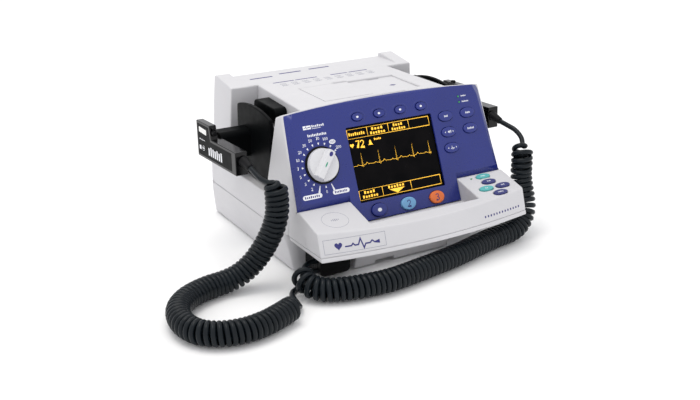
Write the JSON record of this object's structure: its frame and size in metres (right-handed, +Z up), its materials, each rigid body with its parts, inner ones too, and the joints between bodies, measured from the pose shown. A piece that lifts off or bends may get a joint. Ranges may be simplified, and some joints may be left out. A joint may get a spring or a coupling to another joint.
{
  "type": "defibrillator",
  "caption": "Portable monitor and defibrillator: sloping front panel with display, energy knob and keys, front carrying handle, strip printer, and a pair of corded paddles in side pockets.",
  "frame": {"origin": "on the standing surface, at the middle of the device's footprint with its paddles, cords left out", "axes": "+X to the user's right, -Y out of the front panel, +Z up"},
  "size_m": [0.6084, 0.4301, 0.2275],
  "materials": {
    "case_white": "fine spark-eroded texture",
    "panel_blue": "satin moulded",
    "key_blue": "soft silicone rubber",
    "key_light_blue": "soft silicone rubber",
    "key_orange": "soft silicone rubber",
    "key_teal": "soft silicone rubber",
    "key_navy": "soft silicone rubber",
    "knob_white": "satin moulded",
    "display_glass": "clear with anti-glare coat",
    "paddle_black": "fine texture",
    "dark_plastic": "moulded",
    "button_grey": "moulded",
    "window_white": "smooth",
    "electrode_steel": "brushed",
    "screw_steel": "zinc plated",
    "board_green": "solder mask",
    "supply_metal": "folded sheet",
    "capacitor_sleeve": "shrink sleeve",
    "paper": "thermal paper",
    "roller_rubber": "ground",
    "foot_rubber": "moulded",
    "cord_jacket": "moulded jacket",
    "indicator": "clear lens"
  },
  "bodies": {
    "housing": {"lower_case": "case_white", "upper_case": "case_white", "handle_cover": "case_white", "front_bezel": "panel_blue", "display_window": "display_glass", "display_module": "dark_plastic", "knob_ring": "dark_plastic", "energy_switch": "dark_plastic", "key_board": "board_green", "main_board": "board_green", "power_supply": "supply_metal", "storage_capacitor": "capacitor_sleeve", "speaker": "dark_plastic", "ac_inlet": "dark_plastic", "printer_tray": "button_grey", "deck_plate": "case_white", "paddle_rests": "paddle_black", "rest_contacts": "electrode_steel", "feet": "foot_rubber", "case_screws": "screw_steel", "therapy_socket": "dark_plastic", "monitor_socket": "button_grey", "indicator_lights": "indicator", "therapy_plug": "paddle_black", "left_cord": "cord_jacket", "right_cord": "cord_jacket"},
    "soft_key_1": {"soft_key_1": "key_blue"},
    "soft_key_2": {"soft_key_2": "key_blue"},
    "soft_key_3": {"soft_key_3": "key_blue"},
    "soft_key_4": {"soft_key_4": "key_blue"},
    "key_1": {"key_1": "key_blue"},
    "key_2": {"key_2": "key_light_blue"},
    "key_3": {"key_3": "key_orange"},
    "side_key_1": {"side_key_1": "key_blue"},
    "side_key_2": {"side_key_2": "key_blue"},
    "side_key_3": {"side_key_3": "key_blue"},
    "side_key_4": {"side_key_4": "key_blue"},
    "side_key_5": {"side_key_5": "key_blue"},
    "block_key_1": {"block_key_1": "key_teal"},
    "block_key_2": {"block_key_2": "key_navy"},
    "block_key_3": {"block_key_3": "key_teal"},
    "block_key_4": {"block_key_4": "key_navy"},
    "block_key_5": {"block_key_5": "key_navy"},
    "energy_knob": {"energy_knob": "knob_white"},
    "printer_door": {"printer_door": "case_white"},
    "battery": {"battery": "button_grey"},
    "paper_roll": {"paper_roll": "paper"},
    "platen_roller": {"platen_roller": "roller_rubber"},
    "left_paddle": {"left_paddle_shell": "paddle_black", "left_paddle_electrode": "electrode_steel", "left_paddle_grip": "paddle_black", "left_paddle_window": "window_white", "left_paddle_relief": "dark_plastic"},
    "left_shock_button": {"left_shock_button": "button_grey"},
    "right_paddle": {"right_paddle_shell": "paddle_black", "right_paddle_electrode": "electrode_steel", "right_paddle_grip": "paddle_black", "right_paddle_relief": "dark_plastic"},
    "right_shock_button": {"right_shock_button": "button_grey"},
    "right_charge_button": {"right_charge_button": "button_grey"}
  },
  "joints": [
    {"name": "energy_knob_turn", "type": "hinge", "parent": "housing", "child": "energy_knob", "pos_m": [-0.1225, -0.08547, 0.15331], "axis": [0, -0.9171, 0.3987], "range_deg": [-18, 235]},
    {"name": "soft_key_1_press", "type": "slide", "parent": "housing", "child": "soft_key_1", "axis": [0, 0.9171, -0.3987], "range_m": [0, 0.0012], "stiffness_N_per_m": 900},
    {"name": "soft_key_2_press", "type": "slide", "parent": "housing", "child": "soft_key_2", "axis": [0, 0.9171, -0.3987], "range_m": [0, 0.0012], "stiffness_N_per_m": 900},
    {"name": "soft_key_3_press", "type": "slide", "parent": "housing", "child": "soft_key_3", "axis": [0, 0.9171, -0.3987], "range_m": [0, 0.0012], "stiffness_N_per_m": 900},
    {"name": "soft_key_4_press", "type": "slide", "parent": "housing", "child": "soft_key_4", "axis": [0, 0.9171, -0.3987], "range_m": [0, 0.0012], "stiffness_N_per_m": 900},
    {"name": "key_1_press", "type": "slide", "parent": "housing", "child": "key_1", "axis": [0, 0.9171, -0.3987], "range_m": [0, 0.0012], "stiffness_N_per_m": 900},
    {"name": "key_2_press", "type": "slide", "parent": "housing", "child": "key_2", "axis": [0, 0.9171, -0.3987], "range_m": [0, 0.0012], "stiffness_N_per_m": 900},
    {"name": "key_3_press", "type": "slide", "parent": "housing", "child": "key_3", "axis": [0, 0.9171, -0.3987], "range_m": [0, 0.0012], "stiffness_N_per_m": 900},
    {"name": "side_key_1_press", "type": "slide", "parent": "housing", "child": "side_key_1", "axis": [0, 0.9171, -0.3987], "range_m": [0, 0.0012], "stiffness_N_per_m": 900},
    {"name": "side_key_2_press", "type": "slide", "parent": "housing", "child": "side_key_2", "axis": [0, 0.9171, -0.3987], "range_m": [0, 0.0012], "stiffness_N_per_m": 900},
    {"name": "side_key_3_press", "type": "slide", "parent": "housing", "child": "side_key_3", "axis": [0, 0.9171, -0.3987], "range_m": [0, 0.0012], "stiffness_N_per_m": 900},
    {"name": "side_key_4_press", "type": "slide", "parent": "housing", "child": "side_key_4", "axis": [0, 0.9171, -0.3987], "range_m": [0, 0.0012], "stiffness_N_per_m": 900},
    {"name": "side_key_5_press", "type": "slide", "parent": "housing", "child": "side_key_5", "axis": [0, 0.9171, -0.3987], "range_m": [0, 0.0012], "stiffness_N_per_m": 900},
    {"name": "block_key_1_press", "type": "slide", "parent": "housing", "child": "block_key_1", "axis": [0, 0.2419, -0.9703], "range_m": [0, 0.0008], "stiffness_N_per_m": 900},
    {"name": "block_key_2_press", "type": "slide", "parent": "housing", "child": "block_key_2", "axis": [0, 0.2419, -0.9703], "range_m": [0, 0.0008], "stiffness_N_per_m": 900},
    {"name": "block_key_3_press", "type": "slide", "parent": "housing", "child": "block_key_3", "axis": [0, 0.2419, -0.9703], "range_m": [0, 0.0008], "stiffness_N_per_m": 900},
    {"name": "block_key_4_press", "type": "slide", "parent": "housing", "child": "block_key_4", "axis": [0, 0.2419, -0.9703], "range_m": [0, 0.0008], "stiffness_N_per_m": 900},
    {"name": "block_key_5_press", "type": "slide", "parent": "housing", "child": "block_key_5", "axis": [0, 0.2419, -0.9703], "range_m": [0, 0.0008], "stiffness_N_per_m": 900},
    {"name": "printer_door_slide", "type": "slide", "parent": "housing", "child": "printer_door", "axis": [1, 0, 0], "range_m": [0, 0.078]},
    {"name": "battery_pull", "type": "slide", "parent": "housing", "child": "battery", "axis": [0, 1, 0], "range_m": [0, 0.182]},
    {"name": "platen_spin", "type": "hinge", "parent": "housing", "child": "platen_roller", "pos_m": [-0.003, 0.033, 0.206], "axis": [0, 1, 0], "continuous": true},
    {"name": "paper_roll_spin", "type": "hinge", "parent": "housing", "child": "paper_roll", "pos_m": [-0.04, 0.033, 0.176], "axis": [0, 1, 0], "continuous": true},
    {"name": "left_paddle_lift", "type": "slide", "parent": "housing", "child": "left_paddle", "axis": [0, 0, 1], "range_m": [0, 0.15]},
    {"name": "left_shock_button_press", "type": "slide", "parent": "left_paddle", "child": "left_shock_button", "axis": [0, 1, 0], "range_m": [0, 0.002], "stiffness_N_per_m": 600},
    {"name": "right_paddle_lift", "type": "slide", "parent": "housing", "child": "right_paddle", "axis": [0, 0, 1], "range_m": [0, 0.15]},
    {"name": "right_shock_button_press", "type": "slide", "parent": "right_paddle", "child": "right_shock_button", "axis": [0, 1, 0], "range_m": [0, 0.002], "stiffness_N_per_m": 600},
    {"name": "right_charge_button_press", "type": "slide", "parent": "right_paddle", "child": "right_charge_button", "axis": [0, 0, -1], "range_m": [0, 0.002], "stiffness_N_per_m": 600}
  ],
  "couplings": [
    {"joint": "paper_roll_spin", "follows": "platen_spin", "ratio": -0.22727}
  ]
}
